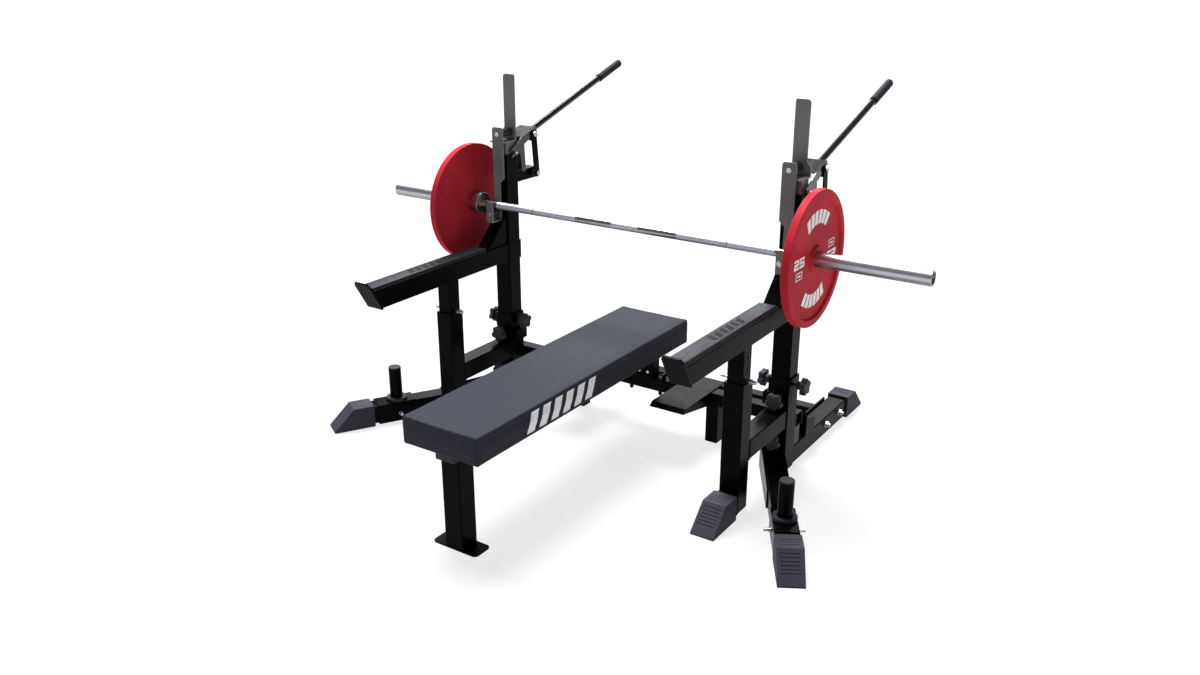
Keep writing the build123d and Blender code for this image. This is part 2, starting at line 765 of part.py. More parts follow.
with BuildPart() as hook_pins:
    # upper roller bolt with a low domed head
    rod((UPPER_ROLLER[0], PLATE_Y - 1, UPPER_ROLLER[1]), (0, 1, 0), 92, BOLT_R)
    rod((UPPER_ROLLER[0], PLATE_Y - 3, UPPER_ROLLER[1]), (0, 1, 0), 3, 9)
    hex_head((UPPER_ROLLER[0], BACK_PLATE_Y + 6, UPPER_ROLLER[1]), (0, 1, 0), 6, 16)
    # lower roller bolt with washer and nut
    rod((LOWER_ROLLER[0], LIP_Y - 2, LOWER_ROLLER[1]), (0, 1, 0), 60, BOLT_R)
    rod((LOWER_ROLLER[0], LIP_Y - 2, LOWER_ROLLER[1]), (0, 1, 0), 2, 11)
    hex_head((LOWER_ROLLER[0], LIP_Y - 8, LOWER_ROLLER[1]), (0, 1, 0), 6, 16)
    rod((LOWER_ROLLER[0], PLATE_Y + 6, LOWER_ROLLER[1]), (0, 1, 0), 3, 8)
    # cross pin that rests on the rim of the upright
    rod((UNIT_X - 56, CROSS_PIN[0], CROSS_PIN[1]), (1, 0, 0), 112, BOLT_R)
save_pair(hook_pins, "hook_pins")

# ---------------------------------------------------------------- links
with BuildPart() as link_bars:
    rise = (ANCHOR[0] - FULCRUM[0], ANCHOR[1] - FULCRUM[1])
    middle = ((FULCRUM[0] + ANCHOR[0]) / 2, (FULCRUM[1] + ANCHOR[1]) / 2, 0)
    slant = math.degrees(math.atan2(rise[1], rise[0]))
    for bar_x in (UNIT_X - LINK_OUT, UNIT_X + LINK_IN):
        with BuildSketch(Plane.YZ.offset(bar_x)):
            with Locations(Location(middle, (0, 0, slant))):
                SlotCenterToCenter(math.hypot(*rise), LINK_WIDTH)
            with Locations(FULCRUM, ANCHOR):
                Circle(PIVOT_R + FIT, mode=Mode.SUBTRACT)
        extrude(amount=LINK_OUT - LINK_IN)
save_pair(link_bars, "link_bars")

with BuildPart() as link_bolts:
    for point in (FULCRUM, ANCHOR):
        rod((UNIT_X - 52, point[0], point[1]), (1, 0, 0), 104, PIVOT_R)
        for head_x in (-LINK_OUT - 7, LINK_OUT):
            hex_head((UNIT_X + head_x, point[0], point[1]), (1, 0, 0), 7, 19)
    for spacer_x in (-LINK_IN, 25.4):
        rod((UNIT_X + spacer_x, ANCHOR[0], ANCHOR[1]), (1, 0, 0), LINK_IN - 25.4, 10)
save_pair(link_bolts, "link_bolts")

# ---------------------------------------------------------------- levers
TILT = math.radians(LEVER_TILT)
LEVER_DIR = Vector(0, math.cos(TILT), math.sin(TILT))
LEVER_UP = Vector(0, -math.sin(TILT), math.cos(TILT))
PIN_GAP = Vector(0, CROSS_PIN[0] - FULCRUM[0], CROSS_PIN[1] - FULCRUM[1])
PIN_U = PIN_GAP.dot(LEVER_DIR)
PIN_V = PIN_GAP.dot(LEVER_UP)
SLOT_HALF = 6.0
SLOT_BACK = 10.5


def lever_point(along, up, x):
    spot = Vector(x, FULCRUM[0], FULCRUM[1]) + LEVER_DIR * along + LEVER_UP * up
    return (spot.X, spot.Y, spot.Z)


with BuildPart() as lever:
    for plate_x in (UNIT_X - FORK_OUT, UNIT_X + FORK_IN):
        fork_side = Plane(
            origin=lever_point(0, 0, plate_x),
            x_dir=LEVER_DIR,
            z_dir=(1, 0, 0),
        )
        with BuildSketch(fork_side):
            with BuildLine():
                Polyline(
                    (26, -20),
                    (26, 18),
                    (-66, 18),
                    (-112, 8),
                    (PIN_U - 14, 2),
                    (PIN_U - 14, PIN_V - SLOT_HALF - 10),
                    (-104, PIN_V - SLOT_HALF - 13),
                    (-98, -36),
                    (-112, -107),
                    (-88, -115),
                    (-64, -14),
                    (-36, -10),
                    (-22, -20),
                    close=True,
                )
            make_face()
            Circle(PIVOT_R + FIT, mode=Mode.SUBTRACT)
            with BuildLine():
                Polyline(
                    (PIN_U - 20, PIN_V - SLOT_HALF),
                    (PIN_U + SLOT_BACK, PIN_V - SLOT_HALF),
                    (PIN_U + SLOT_BACK, PIN_V + SLOT_HALF),
                    (PIN_U - 20, PIN_V + SLOT_HALF),
                    close=True,
                )
            make_face(mode=Mode.SUBTRACT)
        extrude(amount=FORK_OUT - FORK_IN)
    # top plate and back plate of the fork
    with BuildSketch(Plane(origin=lever_point(0, 14, UNIT_X), x_dir=(1, 0, 0), z_dir=LEVER_UP)):
        with BuildLine():
            Polyline(
                (-FORK_IN - 1, -66),
                (FORK_IN + 1, -66),
                (FORK_IN + 1, 26),
                (-FORK_IN - 1, 26),
                close=True,
            )
        make_face()
    extrude(amount=4)
    with BuildSketch(Plane(origin=lever_point(22, -1, UNIT_X), x_dir=(1, 0, 0), z_dir=LEVER_DIR)):
        Rectangle(2 * FORK_IN + 2, 38)
    extrude(amount=4)
    # lever tube
    with BuildSketch(
        Plane(origin=lever_point(25, LEVER_DROP, UNIT_X), x_dir=(1, 0, 0), z_dir=LEVER_DIR)
    ):
        Circle(LEVER_R)
        Circle(LEVER_R - 2.5, mode=Mode.SUBTRACT)
    extrude(amount=GRIP_END - 8 - 25)
save_pair(lever, "lever")

with BuildPart() as lever_grip:
    grip_plane = Plane(
        origin=lever_point(GRIP_START, LEVER_DROP, UNIT_X), x_dir=(1, 0, 0), z_dir=LEVER_DIR
    )
    with BuildSketch(grip_plane):
        Circle(GRIP_R)
    extrude(amount=GRIP_END - GRIP_START)
    grip_end = lever_grip.faces().sort_by(Axis(grip_plane.origin, LEVER_DIR))[-1]
    fillet(grip_end.edges(), 7)
    with BuildSketch(grip_plane):
        Circle(LEVER_R + FIT)
    extrude(amount=GRIP_END - 7.5 - GRIP_START, mode=Mode.SUBTRACT)
save_pair(lever_grip, "lever_grip")

# ---------------------------------------------------------------- barbell
BUSH_R = 18.0
SHAFT_END = BAR_LENGTH / 2 - 15

with BuildPart() as bar_shaft:
    rod((-SHAFT_END, BAR_Y, BAR_Z), (1, 0, 0), 2 * SHAFT_END, SHAFT_R)
save(bar_shaft, "bar_shaft")

BAR_AXIS = Axis((0, BAR_Y, BAR_Z), (1, 0, 0))


def turned(outline):
    """Solid turned about the bar axis; the outline is a list of (x, radius) corners."""
    with BuildSketch(Plane.XZ.offset(-BAR_Y)) as profile:
        with BuildLine():
            Polyline(*[(x, BAR_Z + radius) for x, radius in outline], close=True)
        make_face()
    revolve(profile.sketch, axis=BAR_AXIS)


with BuildPart() as bar_sleeve:
    turned(
        [
            (COLLAR_X, BUSH_R),
            (COLLAR_X, 41),
            (COLLAR_X + 1, 42),
            (COLLAR_X + 11, 42),
            (COLLAR_X + 12, 41),
            (COLLAR_X + 12, 36),
            (PLATE_X - 1.5, 36),
            (PLATE_X - 0.4, 35),
            (PLATE_X - 0.4, SLEEVE_R),
            (BAR_LENGTH / 2 - 2, SLEEVE_R),
            (BAR_LENGTH / 2, SLEEVE_R - 2),
            (BAR_LENGTH / 2, 21),
            (BAR_LENGTH / 2 - 4, 21),
            (BAR_LENGTH / 2 - 4, BUSH_R),
        ]
    )
save_pair(bar_sleeve, "bar_sleeve")

with BuildPart() as bush_set:
    turned(
        [
            (COLLAR_X - 4, SHAFT_R + FIT),
            (COLLAR_X - 4, 19),
            (COLLAR_X - 0.4, 19),
            (COLLAR_X - 0.4, BUSH_R - FIT),
            (COLLAR_X + 36, BUSH_R - FIT),
            (COLLAR_X + 36, SHAFT_R + FIT),
        ]
    )
    turned(
        [
            (SHAFT_END - 40, SHAFT_R + FIT),
            (SHAFT_END - 40, BUSH_R - FIT),
            (SHAFT_END - 0.3, BUSH_R - FIT),
            (SHAFT_END - 0.3, SHAFT_R + FIT),
        ]
    )
    # retaining disc in the end of the sleeve
    rod((SHAFT_END, BAR_Y, BAR_Z), (1, 0, 0), 5, BUSH_R - FIT)
with BuildPart() as bar_bushes:
    add(bush_set.part)
    mirror(bush_set.part, about=Plane.YZ)
save(bar_bushes, "bar_bushes")

WEB_X = PLATE_X + PLATE_WIDTH - 8.0
FACE_X = PLATE_X + PLATE_WIDTH
HUB_X = WEB_X + 6.5
INSERT_R = 36.0

with BuildPart() as plate:
    turned(
        [
            (PLATE_X, PLATE_R - 2),
            (PLATE_X + 2, PLATE_R),
            (FACE_X - 2, PLATE_R),
            (FACE_X, PLATE_R - 2),
            (FACE_X, 202),
            (FACE_X - 1.5, 200.5),
            (WEB_X + 1.5, 198),
            (WEB_X, 196.5),
            (WEB_X, 47),
            (WEB_X + 1.5, 45.5),
            (WEB_X + 5, 43),
            (HUB_X, 41),
            (HUB_X, INSERT_R + 0.05),
            (PLATE_X, INSERT_R + 0.05),
        ]
    )
    # steel insert with the bore, pressed into the middle of the disc
    turned(
        [
            (PLATE_X, PLATE_BORE_R),
            (PLATE_X, INSERT_R),
            (HUB_X, INSERT_R),
            (HUB_X, PLATE_BORE_R + 1.2),
            (HUB_X - 1.2, PLATE_BORE_R),
        ]
    )
save_pair(plate, "plate")
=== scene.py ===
"""Looks of a competition bench press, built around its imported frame.  Metres, +Z up."""

import json
import math

import bmesh
import bpy
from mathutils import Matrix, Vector, noise
from mathutils.bvhtree import BVHTree


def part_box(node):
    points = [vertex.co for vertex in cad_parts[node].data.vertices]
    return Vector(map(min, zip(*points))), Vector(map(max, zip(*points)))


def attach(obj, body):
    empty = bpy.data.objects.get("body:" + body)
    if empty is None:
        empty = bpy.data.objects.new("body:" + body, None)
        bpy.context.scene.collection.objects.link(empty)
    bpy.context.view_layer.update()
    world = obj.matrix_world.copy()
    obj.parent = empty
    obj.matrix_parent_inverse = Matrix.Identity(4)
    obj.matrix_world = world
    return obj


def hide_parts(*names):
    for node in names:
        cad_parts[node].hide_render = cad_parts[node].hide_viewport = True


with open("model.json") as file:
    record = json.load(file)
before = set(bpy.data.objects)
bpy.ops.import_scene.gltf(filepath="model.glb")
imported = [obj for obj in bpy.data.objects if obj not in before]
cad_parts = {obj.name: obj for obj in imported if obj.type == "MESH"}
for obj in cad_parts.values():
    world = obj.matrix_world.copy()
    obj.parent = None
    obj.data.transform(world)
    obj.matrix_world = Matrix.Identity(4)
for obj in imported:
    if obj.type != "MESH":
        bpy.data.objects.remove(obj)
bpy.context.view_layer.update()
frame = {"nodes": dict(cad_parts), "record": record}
NODES = frame["nodes"]
SIDES = {"right": 1, "left": -1}
UNIT_X = 0.605


# ---------------------------------------------------------------- places read from the frame
def middle(node):
    low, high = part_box(node)
    return (Vector(low) + Vector(high)) / 2


BAR = middle("bar_shaft")


# ---------------------------------------------------------------- camera, floor and lights
LENS_MM = 31.82
SENSOR_MM = 36.0
EYE = (1.9659, BAR.y - 3.0958, 1.7776)
LOOK_DOWN = 20.623
LOOK_LEFT = 33.85
SKY_COLOUR = (0.94, 0.96, 1.0)
SKY_STRENGTH = 0.22
FLOOR_RADIUS = 90.0
FLOOR_GREY = (0.14, 0.14, 0.14)
FLOOR_GLOW = (0.99, 0.995, 1.0)
FLOOR_GLOW_STRENGTH = 0.78


def make_camera():
    data = bpy.data.cameras.new("camera")
    data.sensor_width = SENSOR_MM
    data.lens = LENS_MM
    data.clip_end = 2 * FLOOR_RADIUS + 20.0
    camera = bpy.data.objects.new("camera", data)
    camera.location = EYE
    camera.rotation_euler = (math.radians(90 - LOOK_DOWN), 0.0, math.radians(LOOK_LEFT))
    bpy.context.collection.objects.link(camera)
    bpy.context.scene.camera = camera


def area_light(name, place, target, size, power, colour):
    """Rectangular soft light at `place`, turned towards `target`."""
    data = bpy.data.lights.new(name, "AREA")
    data.shape = "RECTANGLE"
    data.size, data.size_y = size
    data.energy = power
    data.color = colour
    light = bpy.data.objects.new(name, data)
    light.location = place
    aim = Vector(target) - Vector(place)
    light.rotation_euler = aim.to_track_quat("-Z", "Y").to_euler()
    bpy.context.collection.objects.link(light)


def sun_light(name, aim, power, spread):
    """Distant light that shines along `aim`; it reaches the whole floor evenly."""
    data = bpy.data.lights.new(name, "SUN")
    data.energy = power
    data.angle = math.radians(spread)
    light = bpy.data.objects.new(name, data)
    light.location = (0.0, 0.0, 6.0)
    light.rotation_euler = Vector(aim).to_track_quat("-Z", "Y").to_euler()
    bpy.context.collection.objects.link(light)


def make_studio():
    """A pale, faintly glowing floor, a weak sky, a soft sun overhead and one soft light behind."""
    scene = bpy.context.scene
    scene.view_settings.view_transform = "Standard"
    world = bpy.data.worlds.new("studio")
    world.use_nodes = True
    background = world.node_tree.nodes["Background"]
    background.inputs["Color"].default_value = (*SKY_COLOUR, 1.0)
    background.inputs["Strength"].default_value = SKY_STRENGTH
    scene.world = world
    bpy.ops.mesh.primitive_circle_add(vertices=96, radius=FLOOR_RADIUS, fill_type="NGON")
    floor = bpy.context.object
    floor.name = "floor"
    material = bpy.data.materials.new("floor_pale")
    material.use_nodes = True
    shader = material.node_tree.nodes["Principled BSDF"]
    shader.inputs["Base Color"].default_value = (*FLOOR_GREY, 1.0)
    shader.inputs["Roughness"].default_value = 0.9
    shader.inputs["Specular IOR Level"].default_value = 0.1
    shader.inputs["Emission Color"].default_value = (*FLOOR_GLOW, 1.0)
    shader.inputs["Emission Strength"].default_value = FLOOR_GLOW_STRENGTH
    floor.data.materials.append(material)
    sun_light("key", aim=(0.34, -0.24, -1.0), power=8.2, spread=30.0)
    area_light(
        "back",
        place=(-3.2, 5.4, 3.4),
        target=(0.0, 0.0, 0.6),
        size=(5.0, 2.2),
        power=190.0,
        colour=(0.95, 0.97, 1.0),
    )


make_camera()
make_studio()


# ---------------------------------------------------------------- materials
def scaled(colour, factor, lift=0.0):
    return tuple(c * factor + lift for c in colour)


class Look:
    """A procedural material under construction, with a few shorthands for its nodes."""

    def __init__(self, name, metallic=0.0, roughness=0.5):
        self.material = bpy.data.materials.new(name)
        self.material.use_nodes = True
        self.tree = self.material.node_tree
        self.shader = self.tree.nodes["Principled BSDF"]
        self.shader.inputs["Metallic"].default_value = metallic
        self.shader.inputs["Roughness"].default_value = roughness
        self.spot = self.node("ShaderNodeTexCoord").outputs["Object"]

    def node(self, kind, **settings):
        made = self.tree.nodes.new(kind)
        for key, value in settings.items():
            setattr(made, key, value)
        return made

    def link(self, source, target):
        self.tree.links.new(source, target)

    def noise(self, scale, detail=3.0, stretch=(1.0, 1.0, 1.0)):
        """Noise of so many cells a metre."""
        mapping = self.node("ShaderNodeMapping")
        mapping.inputs["Scale"].default_value = stretch
        texture = self.node("ShaderNodeTexNoise")
        texture.inputs["Scale"].default_value = scale
        texture.inputs["Detail"].default_value = detail
        texture.inputs["Roughness"].default_value = 0.5
        self.link(self.spot, mapping.inputs["Vector"])
        self.link(mapping.outputs["Vector"], texture.inputs["Vector"])
        return texture.outputs["Fac"]

    def cell_edges(self, scale):
        """Distance to the nearest border of so many cells a metre."""
        texture = self.node("ShaderNodeTexVoronoi", feature="DISTANCE_TO_EDGE")
        texture.inputs["Scale"].default_value = scale
        self.link(self.spot, texture.inputs["Vector"])
        return texture.outputs["Distance"]

    def math(self, operation, *values):
        """One maths node; each value may be a number or a socket."""
        made = self.node("ShaderNodeMath", operation=operation)
        for socket, value in zip(made.inputs, values):
            if isinstance(value, (int, float)):
                socket.default_value = value
            else:
                self.link(value, socket)
        return made.outputs["Value"]

    def remap(self, value, low, high, start, end):
        """Stretches low..high to start..end and clamps outside it."""
        made = self.node("ShaderNodeMapRange")
        made.inputs["From Min"].default_value = low
        made.inputs["From Max"].default_value = high
        made.inputs["To Min"].default_value = start
        made.inputs["To Max"].default_value = end
        self.link(value, made.inputs["Value"])
        return made.outputs["Result"]

    def mix(self, factor, first, second):
        """Colour between two colours; each may be a tuple or a socket."""
        made = self.node("ShaderNodeMix", data_type="RGBA")
        self.link(factor, made.inputs["Factor"])
        for name, value in (("A", first), ("B", second)):
            socket = [i for i in made.inputs if i.name == name and i.type == "RGBA"][0]
            if isinstance(value, tuple):
                socket.default_value = (*value, 1.0)
            else:
                self.link(value, socket)
        return [o for o in made.outputs if o.type == "RGBA"][0]

    def gleam(self, value):
        self.shader.inputs["Specular IOR Level"].default_value = value

    def colour(self, value):
        self.link(value, self.shader.inputs["Base Color"])

    def roughness(self, value):
        self.link(value, self.shader.inputs["Roughness"])

    def place(self):
        """The x, y and z sockets of the object's own coordinates."""
        made = self.node("ShaderNodeSeparateXYZ")
        self.link(self.spot, made.inputs["Vector"])
        return made.outputs["X"], made.outputs["Y"], made.outputs["Z"]

    def on_edge(self, radius):
        """One along the sharp edges, nought on the flats."""
        geometry = self.node("ShaderNodeNewGeometry")
        dot = self.node("ShaderNodeVectorMath", operation="DOT_PRODUCT")
        self.link(self.rounded(radius), dot.inputs[0])
        self.link(geometry.outputs["True Normal"], dot.inputs[1])
        return self.remap(dot.outputs["Value"], 0.985, 0.86, 0.0, 1.0)

    def rounded(self, radius):
        """Normal of the surface as if its edges were rounded."""
        made = self.node("ShaderNodeBevel", samples=4)
        made.inputs["Radius"].default_value = radius
        return made.outputs["Normal"]

    def bump(self, height, distance, edge=0.0):
        """Relief of `distance` metres, on edges rounded by `edge` metres."""
        made = self.node("ShaderNodeBump")
        made.inputs["Distance"].default_value = distance
        made.inputs["Strength"].default_value = 1.0
        self.link(height, made.inputs["Height"])
        if edge:
            self.link(self.rounded(edge), made.inputs["Normal"])
        self.link(made.outputs["Normal"], self.shader.inputs["Normal"])


def powder_coat(name, colour, worn_and_highlit, roughness=0.3, gleam=0.024, peel=0.000012, edge=0.0012):
    """Baked powder paint: fine orange peel, faint cloudiness, sharp edges lightened towards the edge
    colour, partly rubbed wear and partly a painted highlight.
    """
    look = Look(name, roughness=roughness)
    look.gleam(gleam)
    cloud = look.remap(look.noise(9.0, 4.0), 0.35, 0.7, 0.0, 1.0)
    body = look.mix(cloud, colour, scaled(colour, 1.35, 0.001))
    patches = look.remap(look.noise(38.0, 5.0), 0.3, 0.62, 0.25, 1.0)
    # painted highlight mixed with real wear: the colour lightens in patches along the sharp edges
    rubbed_and_highlit = look.math("MULTIPLY", look.on_edge(edge), patches)
    look.colour(look.mix(rubbed_and_highlit, body, worn_and_highlit))
    scuffs = look.remap(look.noise(55.0, 5.0, stretch=(1.0, 0.3, 0.3)), 0.3, 0.75, -0.02, 0.05)
    look.roughness(look.math("ADD", scuffs, roughness))
    look.bump(look.noise(420.0, 2.0), peel, edge=edge)
    return look.material


def shaded_below(look, colour, darkest):
    """Darkens a polished colour towards its underside, where it mirrors its own shadow."""
    geometry = look.node("ShaderNodeNewGeometry")
    split = look.node("ShaderNodeSeparateXYZ")
    look.link(geometry.outputs["Normal"], split.inputs["Vector"])
    share = look.remap(split.outputs["Z"], -0.95, 0.15, 1.0, 0.0)
    return look.mix(share, colour, darkest)


def bright_metal(name, colour, roughness=0.25, grain=(1.0, 1.0, 1.0), edge=0.0006, below=0.16):
    """Plated steel: brushing finer than a millimetre, faint handling marks."""
    look = Look(name, metallic=1.0, roughness=roughness)
    brushed = look.noise(800.0, 2.0, stretch=grain)
    marks = look.remap(look.noise(18.0, 4.0), 0.4, 0.75, 0.0, 1.0)
    base = look.mix(marks, colour, scaled(colour, 0.92))
    look.colour(shaded_below(look, base, scaled(colour, below)))
    look.roughness(
        look.math(
            "ADD",
            look.remap(brushed, 0.3, 0.7, roughness - 0.02, roughness + 0.03),
            look.math("MULTIPLY", marks, 0.03),
        )
    )
    look.bump(brushed, 0.000002, edge=edge)
    return look.material


KNURL_ZONES = ((-0.001, 0.055), (0.212, 0.581))
RING_MARK = (0.405, 0.4095)
KNURL_PITCH = 0.0016
KNURL_STARTS = 56.0


def knurled_shaft(name, colour, frosted):
    """Satin chrome bar: diamond knurling in its zones, smooth between, two ring marks."""
    look = Look(name, metallic=1.0)
    x, y, z = look.place()
    along = look.math("ABSOLUTE", x)

    def between(low, high):
        return look.math(
            "MULTIPLY", look.math("GREATER_THAN", along, low), look.math("LESS_THAN", along, high)
        )

    zone = look.math("ADD", between(*KNURL_ZONES[0]), between(*KNURL_ZONES[1]))
    ring = between(*RING_MARK)
    zone = look.math("MULTIPLY", zone, look.math("SUBTRACT", 1.0, ring))
    turn = look.math(
        "ARCTAN2", look.math("SUBTRACT", z, float(BAR.z)), look.math("SUBTRACT", y, float(BAR.y))
    )
    advance = look.math("MULTIPLY", x, 2 * math.pi / KNURL_PITCH)
    twist = look.math("MULTIPLY", turn, KNURL_STARTS)
    one = look.math("SINE", look.math("ADD", advance, twist))
    other = look.math("SINE", look.math("SUBTRACT", advance, twist))
    diamonds = look.math("MULTIPLY", look.math("ADD", one, other), 0.5)
    height = look.math("MULTIPLY", diamonds, zone)
    height = look.math("SUBTRACT", height, look.math("MULTIPLY", ring, 2.0))
    marks = look.remap(look.noise(30.0, 5.0), 0.35, 0.75, 0.0, 1.0)
    base = look.mix(marks, colour, scaled(colour, 0.88))
    base = look.mix(zone, base, frosted)
    look.colour(shaded_below(look, base, scaled(colour, 0.4)))
    look.roughness(
        look.math("ADD", look.remap(zone, 0.0, 1.0, 0.22, 0.5), look.math("MULTIPLY", marks, 0.04))
    )
    look.bump(height, 0.00002)
    return look.material


def moulded(name, colour, roughness=0.55, edge=0.0015, grain=700.0, depth=0.00003):
    """Moulded rubber or plastic with a fine eroded grain, greyed along its edges by rubbed wear and a
    painted highlight.
    """
    look = Look(name, roughness=roughness)
    look.gleam(0.1)
    cloud = look.remap(look.noise(14.0, 4.0), 0.3, 0.75, 0.0, 1.0)
    body = look.mix(cloud, colour, scaled(colour, 1.22))
    patches = look.remap(look.noise(55.0, 5.0), 0.35, 0.65, 0.2, 0.9)
    # painted highlight mixed with real wear: the colour lightens in patches along the sharp edges
    rubbed_and_highlit = look.math("MULTIPLY", look.on_edge(edge), patches)
    look.colour(look.mix(rubbed_and_highlit, body, scaled(colour, 1.7, 0.004)))
    look.roughness(look.remap(look.noise(90.0, 4.0), 0.3, 0.75, roughness - 0.06, roughness + 0.1))
    look.bump(look.noise(grain, 3.0), depth, edge=edge)
    return look.material


def leathercloth(name, colour):
    """Matt vinyl: pebbled leather grain about a millimetre across, under a faint mottling."""
    look = Look(name, roughness=0.6)
    look.gleam(0.06)
    mottle = look.remap(look.noise(11.0, 4.0), 0.3, 0.72, 0.0, 1.0)
    fleck = look.remap(look.noise(520.0, 2.0), 0.35, 0.7, 0.0, 1.0)
    body = look.mix(mottle, colour, scaled(colour, 1.06))
    creases = look.cell_edges(820.0)
    body = look.mix(look.math("MULTIPLY", fleck, 0.35), body, scaled(colour, 1.5))
    # painted shade: the colour darkens into the creases between the pebbles of the grain
    look.colour(look.mix(look.remap(creases, 0.0, 0.12, 0.45, 0.0), body, scaled(colour, 0.45)))
    look.roughness(look.remap(look.noise(24.0, 4.0), 0.3, 0.75, 0.6, 0.68))
    pebbles = look.remap(creases, 0.0, 0.25, 0.0, 1.0)
    height = look.math("ADD", pebbles, look.math("MULTIPLY", look.noise(260.0, 3.0), 0.8))
    look.bump(height, 0.00009)
    return look.material


def enamel(name, colour):
    """Screen-printed or filled marking paint, a little chipped and dirty."""
    look = Look(name, roughness=0.5)
    dirt = look.remap(look.noise(60.0, 6.0), 0.5, 0.78, 0.0, 0.5)
    look.colour(look.mix(dirt, colour, scaled(colour, 0.62)))
    look.roughness(look.remap(look.noise(120.0, 3.0), 0.3, 0.7, 0.4, 0.6))
    look.bump(look.noise(500.0, 2.0), 0.00003, edge=0.0004)
    return look.material


BLACK = powder_coat("frame_black", (0.0014, 0.0014, 0.0016), (0.016, 0.016, 0.018), 0.24)
HOOK_GREY = powder_coat(
    "hook_grey", (0.135, 0.137, 0.144), (0.36, 0.37, 0.39), 0.34, gleam=0.25, edge=0.0009
)
LEVER_GLOSS = powder_coat(
    "lever_gloss", (0.002, 0.002, 0.003), (0.03, 0.03, 0.034), 0.2, gleam=0.5
)
LINK_DARK = powder_coat("link_dark", (0.003, 0.003, 0.003), (0.03, 0.03, 0.034), 0.34)
ZINC = bright_metal("zinc", (0.5, 0.51, 0.54), 0.3)
CHROME = knurled_shaft("shaft_chrome", (0.34, 0.345, 0.37), (0.6, 0.6, 0.7))
SLEEVE = bright_metal("sleeve_chrome", (0.56, 0.56, 0.61), 0.3, grain=(1.0, 0.06, 0.06), below=0.14)
BRASS = bright_metal("bush_brass", (0.6, 0.42, 0.19), 0.3)
RED = powder_coat(
    "plate_red", (0.42, 0.02, 0.032), (0.5, 0.04, 0.054), 0.45, gleam=0.025, peel=0.00001, edge=0.0015
)
ROLLER = moulded("roller_dark", (0.02, 0.02, 0.023), 0.4)
RUBBER = moulded("foot_rubber", (0.031, 0.032, 0.044), 0.62)
KNOB = moulded("knob_grey", (0.033, 0.034, 0.042), 0.5)
CAP = moulded("cap_grey", (0.026, 0.028, 0.035), 0.5)
GRIP = moulded("grip_rubber", (0.018, 0.02, 0.026), 0.55, grain=420.0, depth=0.0001)
STRIP = moulded("arm_pad", (0.013, 0.0135, 0.018), 0.42)
STRIP_MARK = moulded("arm_pad_mark", (0.004, 0.004, 0.006), 0.6)
VINYL = leathercloth("pad_vinyl", (0.029, 0.0305, 0.041))
THREAD = moulded("pad_thread", (0.02, 0.0205, 0.025), 0.7, edge=0.0003, grain=2200.0)
WHITE = enamel("mark_white", (0.9, 0.9, 0.93))

LOOK_OF_SLOT = {
    "frame_black": BLACK,
    "hook_grey": HOOK_GREY,
    "link_dark": LINK_DARK,
    "zinc": ZINC,
    "shaft_chrome": CHROME,
    "sleeve_chrome": SLEEVE,
    "bush_brass": BRASS,
    "plate_red": RED,
    "roller_dark": ROLLER,
    "foot_rubber": RUBBER,
    "knob_grey": KNOB,
    "cap_grey": CAP,
    "grip_rubber": GRIP,
    "arm_pad": STRIP,
    "pad_vinyl": VINYL,
}


LOOK_OF_NODE = {"lever_right": LEVER_GLOSS, "lever_left": LEVER_GLOSS}


def paint_cad_nodes():
    for part in frame["record"]["subparts"]:
        node = NODES[part["node"]]
        look = LOOK_OF_NODE.get(part["node"], LOOK_OF_SLOT[part["material_slot"]])
        for index in range(len(node.material_slots)):
            node.material_slots[index].material = look


paint_cad_nodes()


# ---------------------------------------------------------------- mesh helpers
def new_object(name, bm, material, body, smooth=True):
    """Turns a bmesh into a piece that rides on a body."""
    mesh = bpy.data.meshes.new(name)
    bm.to_mesh(mesh)
    bm.free()
    piece = bpy.data.objects.new(name, mesh)
    bpy.context.collection.objects.link(piece)
    mesh.materials.append(material)
    for polygon in mesh.polygons:
        polygon.use_smooth = smooth
    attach(piece, body)
    return piece


def apply_modifiers(piece):
    """Bakes every modifier into the mesh."""
    graph = bpy.context.evaluated_depsgraph_get()
    solid = bpy.data.meshes.new_from_object(piece.evaluated_get(graph))
    piece.modifiers.clear()
    old = piece.data
    piece.data = solid
    bpy.data.meshes.remove(old)


def rounded_box(low, high, radius, segments=4):
    """Closed box with all its edges rounded."""
    bm = bmesh.new()
    bmesh.ops.create_cube(bm, size=1.0)
    centre = (Vector(low) + Vector(high)) / 2
    size = Vector(high) - Vector(low)
    for vert in bm.verts:
        vert.co = centre + Vector(a * b for a, b in zip(vert.co, size))
    bmesh.ops.bevel(
        bm,
        geom=bm.edges[:],
        offset=radius,
        segments=segments,
        profile=0.5,
        affect="EDGES",
    )
    return bm


# ---------------------------------------------------------------- bench pad
PAD_INSET = 0.0004
PAD_ROUND = 0.0045
PAD_CAP = 0.0022
PAD_VOXEL = 0.0055
PIPING = 0.0009
STITCH_PITCH = 0.0065
STITCH_LENGTH = 0.0042
STITCH_GAP = 0.005
SEAM_STEP = 0.004
SEAM_ENDS = 0.010


CLOTH_FRAMES = 20
CLOTH_PRESSURE = 4.0
CLOTH_STIFFNESS = 40
CLOTH_BENDING = 4


def inflate(piece):
    """Fills the cushion with a short cloth simulation; returns how far each point moved."""
    start = [vert.co.copy() for vert in piece.data.vertices]
    cloth = piece.modifiers.new("cloth", "CLOTH")
    cloth.settings.quality = 4
    cloth.settings.use_pressure = True
    cloth.settings.uniform_pressure_force = CLOTH_PRESSURE
    cloth.settings.tension_stiffness = CLOTH_STIFFNESS
    cloth.settings.compression_stiffness = CLOTH_STIFFNESS
    cloth.settings.bending_stiffness = CLOTH_BENDING
    cloth.settings.effector_weights.gravity = 0.0
    scene = bpy.context.scene
    for step in range(1, CLOTH_FRAMES + 1):
        scene.frame_set(step)
    apply_modifiers(piece)
    scene.frame_set(1)
    moves = []
    for vert, home in zip(piece.data.vertices, start):
        move = vert.co - home
        if move.length > PAD_CAP:
            move *= PAD_CAP / move.length
        moves.append(move)
        vert.co = home
    return moves


